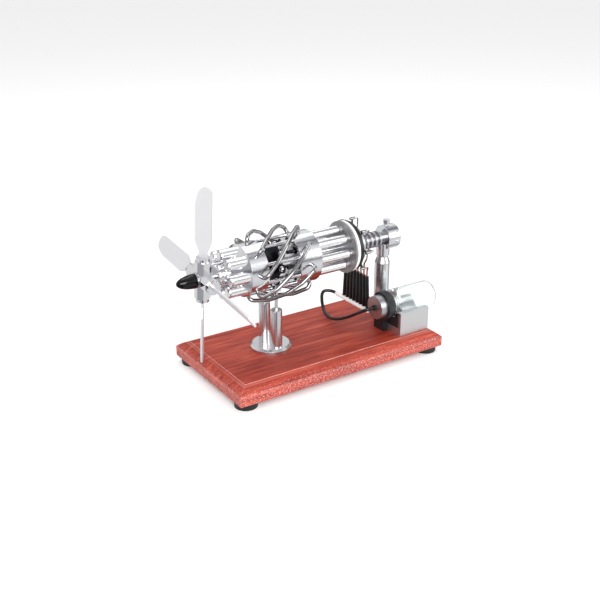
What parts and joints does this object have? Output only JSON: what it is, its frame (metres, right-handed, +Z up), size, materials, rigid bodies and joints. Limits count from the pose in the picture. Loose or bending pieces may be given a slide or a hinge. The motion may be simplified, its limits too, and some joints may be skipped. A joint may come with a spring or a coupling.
{
  "type": "stirling engine model",
  "caption": "Table-top stirling engine with eight cold and eight hot cylinders around a wobble-plate drive, a four-blade propeller and a fuel bottle, on a wooden board.",
  "frame": {"origin": "on the table under the middle of the whole object, spinner tip to bottle end, on the engine's centre plane", "axes": "+X along the engine from the propeller to the burner, +Z up, +Y to the left seen from behind the bottle"},
  "size_m": [0.3202, 0.2104, 0.2352],
  "materials": {
    "padauk_wood": "satin",
    "black_rubber": "matte",
    "polished_aluminium": "polished",
    "brushed_aluminium": "brushed",
    "bright_steel": "polished",
    "stainless_tube": "satin",
    "dark_steel": "satin",
    "black_anodised": "gloss",
    "white_ceramic": "matte",
    "copper": "polished",
    "clear_glass": "clear",
    "black_nylon": "satin",
    "white_plastic": "gloss"
  },
  "bodies": {
    "frame": {"base_board": "padauk_wood", "rubber_feet": "black_rubber", "foot_screws": "bright_steel", "stand_flange": "polished_aluminium", "stand_posts": "polished_aluminium", "stand_studs": "bright_steel", "stud_clamps": "polished_aluminium", "tie_rods": "bright_steel", "front_block": "polished_aluminium", "rear_block": "polished_aluminium", "cold_cylinders": "stainless_tube", "hot_cylinders": "stainless_tube", "crossover_pipes": "stainless_tube", "front_bearing_plate": "polished_aluminium", "shaft_bearings": "bright_steel", "center_column": "stainless_tube", "hot_flange": "brushed_aluminium", "ceramic_ring": "white_ceramic", "insulator_ring": "black_nylon", "burner_body": "brushed_aluminium", "burner_nozzles": "stainless_tube", "copper_pipes": "copper", "feed_sleeves": "black_rubber", "finned_neck": "brushed_aluminium", "clamp_collar": "polished_aluminium", "collar_screws": "bright_steel", "rear_pillar": "polished_aluminium", "fuel_manifold": "white_plastic", "fuel_hose": "black_rubber", "plug_grommet": "black_rubber", "bottle_plug": "brushed_aluminium", "cap_nut": "black_nylon", "fuel_bottle": "clear_glass", "bottle_cradle": "brushed_aluminium", "cap_block": "black_nylon"},
    "rotor": {"main_shaft": "bright_steel", "swash_hub": "dark_steel", "swash_retainer": "bright_steel", "propeller_hub": "bright_steel", "propeller_blades": "polished_aluminium", "spinner": "black_anodised", "spinner_ring": "bright_steel"},
    "swash": {"wobble_plate": "dark_steel"},
    "ball_joint_1": {"drive_ball_1": "bright_steel"},
    "piston_set_1": {"piston_1": "white_plastic"},
    "ball_joint_2": {"drive_ball_2": "bright_steel"},
    "piston_set_2": {"piston_2": "dark_steel"},
    "ball_joint_3": {"drive_ball_3": "bright_steel"},
    "piston_set_3": {"piston_3": "dark_steel"},
    "ball_joint_4": {"drive_ball_4": "bright_steel"},
    "piston_set_4": {"piston_4": "dark_steel"},
    "ball_joint_5": {"drive_ball_5": "bright_steel"},
    "piston_set_5": {"piston_5": "dark_steel"},
    "ball_joint_6": {"drive_ball_6": "bright_steel"},
    "piston_set_6": {"piston_6": "dark_steel"},
    "ball_joint_7": {"drive_ball_7": "bright_steel"},
    "piston_set_7": {"piston_7": "dark_steel"},
    "ball_joint_8": {"drive_ball_8": "bright_steel"},
    "piston_set_8": {"piston_8": "dark_steel"}
  },
  "joints": [
    {"name": "shaft_spin", "type": "hinge", "parent": "frame", "child": "rotor", "pos_m": [-0.041, 0, 0.13], "axis": [1, 0, 0], "continuous": true},
    {"name": "plate_wobble", "type": "hinge", "parent": "rotor", "child": "swash", "pos_m": [-0.041, 0, 0.13], "axis": [0.9781, 0, -0.2079], "continuous": true},
    {"name": "ball_turn_1", "type": "hinge", "parent": "swash", "child": "ball_joint_1", "pos_m": [-0.03637, 0, 0.15176], "axis": [0.9781, 0, -0.2079], "continuous": true},
    {"name": "piston_stroke_1", "type": "hinge", "parent": "ball_joint_1", "child": "piston_set_1", "pos_m": [-0.03637, 0, 0.15176], "axis": [1, 0, 0], "continuous": true},
    {"name": "ball_turn_2", "type": "hinge", "parent": "swash", "child": "ball_joint_2", "pos_m": [-0.03773, -0.01573, 0.14538], "axis": [0.9781, 0, -0.2079], "continuous": true},
    {"name": "piston_stroke_2", "type": "hinge", "parent": "ball_joint_2", "child": "piston_set_2", "pos_m": [-0.03773, -0.01573, 0.14538], "axis": [1, 0, 0], "continuous": true},
    {"name": "ball_turn_3", "type": "hinge", "parent": "swash", "child": "ball_joint_3", "pos_m": [-0.041, -0.02224, 0.13], "axis": [0.9781, 0, -0.2079], "continuous": true},
    {"name": "piston_stroke_3", "type": "hinge", "parent": "ball_joint_3", "child": "piston_set_3", "pos_m": [-0.041, -0.02224, 0.13], "axis": [1, 0, 0], "continuous": true},
    {"name": "ball_turn_4", "type": "hinge", "parent": "swash", "child": "ball_joint_4", "pos_m": [-0.04427, -0.01573, 0.11462], "axis": [0.9781, 0, -0.2079], "continuous": true},
    {"name": "piston_stroke_4", "type": "hinge", "parent": "ball_joint_4", "child": "piston_set_4", "pos_m": [-0.04427, -0.01573, 0.11462], "axis": [1, 0, 0], "continuous": true},
    {"name": "ball_turn_5", "type": "hinge", "parent": "swash", "child": "ball_joint_5", "pos_m": [-0.04562, 0, 0.10824], "axis": [0.9781, 0, -0.2079], "continuous": true},
    {"name": "piston_stroke_5", "type": "hinge", "parent": "ball_joint_5", "child": "piston_set_5", "pos_m": [-0.04562, 0, 0.10824], "axis": [1, 0, 0], "continuous": true},
    {"name": "ball_turn_6", "type": "hinge", "parent": "swash", "child": "ball_joint_6", "pos_m": [-0.04427, 0.01573, 0.11462], "axis": [0.9781, 0, -0.2079], "continuous": true},
    {"name": "piston_stroke_6", "type": "hinge", "parent": "ball_joint_6", "child": "piston_set_6", "pos_m": [-0.04427, 0.01573, 0.11462], "axis": [1, 0, 0], "continuous": true},
    {"name": "ball_turn_7", "type": "hinge", "parent": "swash", "child": "ball_joint_7", "pos_m": [-0.041, 0.02224, 0.13], "axis": [0.9781, 0, -0.2079], "continuous": true},
    {"name": "piston_stroke_7", "type": "hinge", "parent": "ball_joint_7", "child": "piston_set_7", "pos_m": [-0.041, 0.02224, 0.13], "axis": [1, 0, 0], "continuous": true},
    {"name": "ball_turn_8", "type": "hinge", "parent": "swash", "child": "ball_joint_8", "pos_m": [-0.03773, 0.01573, 0.14538], "axis": [0.9781, 0, -0.2079], "continuous": true},
    {"name": "piston_stroke_8", "type": "hinge", "parent": "ball_joint_8", "child": "piston_set_8", "pos_m": [-0.03773, 0.01573, 0.14538], "axis": [1, 0, 0], "continuous": true}
  ],
  "couplings": [
    {"joint": "plate_wobble", "follows": "shaft_spin", "ratio": -1},
    {"joint": "ball_turn_1", "follows": "shaft_spin", "ratio": 1},
    {"joint": "piston_stroke_1", "follows": "shaft_spin", "ratio": -1},
    {"joint": "ball_turn_2", "follows": "shaft_spin", "ratio": 1},
    {"joint": "piston_stroke_2", "follows": "shaft_spin", "ratio": -1},
    {"joint": "ball_turn_3", "follows": "shaft_spin", "ratio": 1},
    {"joint": "piston_stroke_3", "follows": "shaft_spin", "ratio": -1},
    {"joint": "ball_turn_4", "follows": "shaft_spin", "ratio": 1},
    {"joint": "piston_stroke_4", "follows": "shaft_spin", "ratio": -1},
    {"joint": "ball_turn_5", "follows": "shaft_spin", "ratio": 1},
    {"joint": "piston_stroke_5", "follows": "shaft_spin", "ratio": -1},
    {"joint": "ball_turn_6", "follows": "shaft_spin", "ratio": 1},
    {"joint": "piston_stroke_6", "follows": "shaft_spin", "ratio": -1},
    {"joint": "ball_turn_7", "follows": "shaft_spin", "ratio": 1},
    {"joint": "piston_stroke_7", "follows": "shaft_spin", "ratio": -1},
    {"joint": "ball_turn_8", "follows": "shaft_spin", "ratio": 1},
    {"joint": "piston_stroke_8", "follows": "shaft_spin", "ratio": -1}
  ]
}
